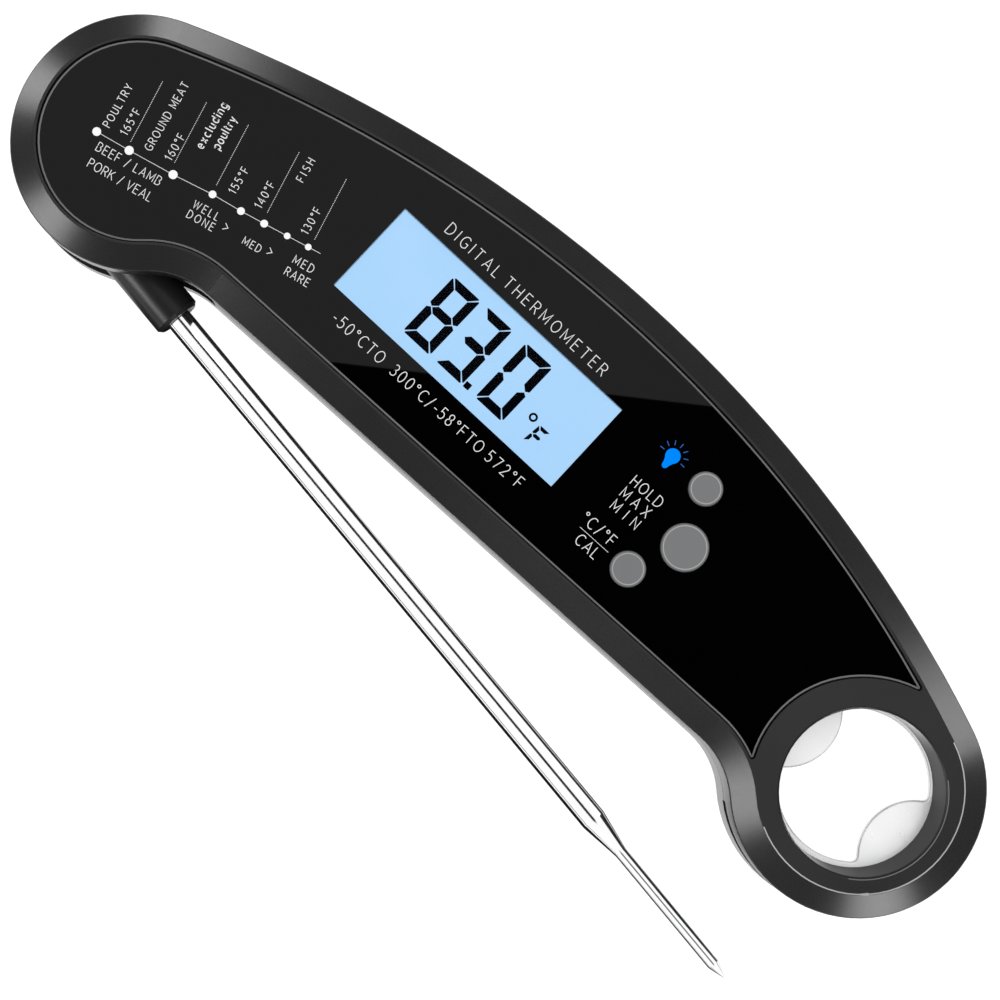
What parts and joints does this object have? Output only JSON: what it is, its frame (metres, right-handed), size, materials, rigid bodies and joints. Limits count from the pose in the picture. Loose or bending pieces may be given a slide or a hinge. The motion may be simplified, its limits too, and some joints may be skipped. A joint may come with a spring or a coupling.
{
  "type": "meat thermometer",
  "caption": "Folding instant-read meat thermometer: curved handle with a lit display and round keys, a hinged steel needle, and a hanging ring with an opener.",
  "frame": {"origin": "on the flat back, halfway between the probe's pivot axis and the ring's centre", "axes": "+X along the handle from the pivot to the ring, +Y towards the curved edge, +Z out of the display face"},
  "size_m": [0.1678, 0.0625, 0.02],
  "materials": {
    "shell": "satin",
    "arm": "satin",
    "seal": "matte",
    "screw": "satin",
    "panel": "gloss",
    "window": "gloss",
    "magnet": "satin",
    "steel": "polished",
    "key": "satin",
    "white_plastic": "matte",
    "dark_plastic": "matte",
    "lcd_glass": "gloss",
    "light_guide": "gloss",
    "board": "satin",
    "reed_glass": "gloss",
    "lead": "satin",
    "cell": "satin",
    "contact": "satin",
    "needle_steel": "polished"
  },
  "bodies": {
    "handle": {"front_housing": "shell", "rear_housing": "shell", "housing_seal": "seal", "housing_screws": "screw", "front_panel": "panel", "display_window": "window", "back_magnets": "magnet", "opener_plate": "steel", "switch_bodies": "dark_plastic", "lcd_panel": "lcd_glass", "backlight_guide": "light_guide", "backlight_leds": "white_plastic", "lcd_connector": "seal", "circuit_board": "board", "controller_chip": "dark_plastic", "reed_switch": "reed_glass", "board_screws": "screw", "board_leads": "lead", "coin_cell": "cell", "battery_positive_contact": "contact", "battery_negative_contact": "contact", "pivot_bushes": "white_plastic", "friction_washer": "steel", "hub_seals": "seal"},
    "light": {"light_key": "key", "light_plunger": "white_plastic"},
    "hold": {"hold_key": "key", "hold_plunger": "white_plastic"},
    "unit": {"unit_key": "key", "unit_plunger": "white_plastic"},
    "door": {"battery_door": "shell", "battery_door_seal": "seal"},
    "probe": {"probe_arm": "arm", "probe_needle": "needle_steel", "thermistor_bead": "dark_plastic", "sensor_leads": "lead", "wake_magnet": "magnet"}
  },
  "joints": [
    {"name": "probe_fold", "type": "hinge", "parent": "handle", "child": "probe", "pos_m": [-0.0662, 0, 0.01], "axis": [0, 0, 1], "range_deg": [-173.2, 6.8]},
    {"name": "light_press", "type": "slide", "parent": "handle", "child": "light", "axis": [0, 0, -1], "range_m": [0, 0.0004], "stiffness_N_per_m": 2500, "springref_m": -0.0002},
    {"name": "hold_press", "type": "slide", "parent": "handle", "child": "hold", "axis": [0, 0, -1], "range_m": [0, 0.0004], "stiffness_N_per_m": 2500, "springref_m": -0.0002},
    {"name": "unit_press", "type": "slide", "parent": "handle", "child": "unit", "axis": [0, 0, -1], "range_m": [0, 0.0004], "stiffness_N_per_m": 2500, "springref_m": -0.0002},
    {"name": "battery_door_turn", "type": "hinge", "parent": "handle", "child": "door", "pos_m": [0.028, 0.009, 0.001], "axis": [0, 0, 1], "range_deg": [0, 40]}
  ]
}
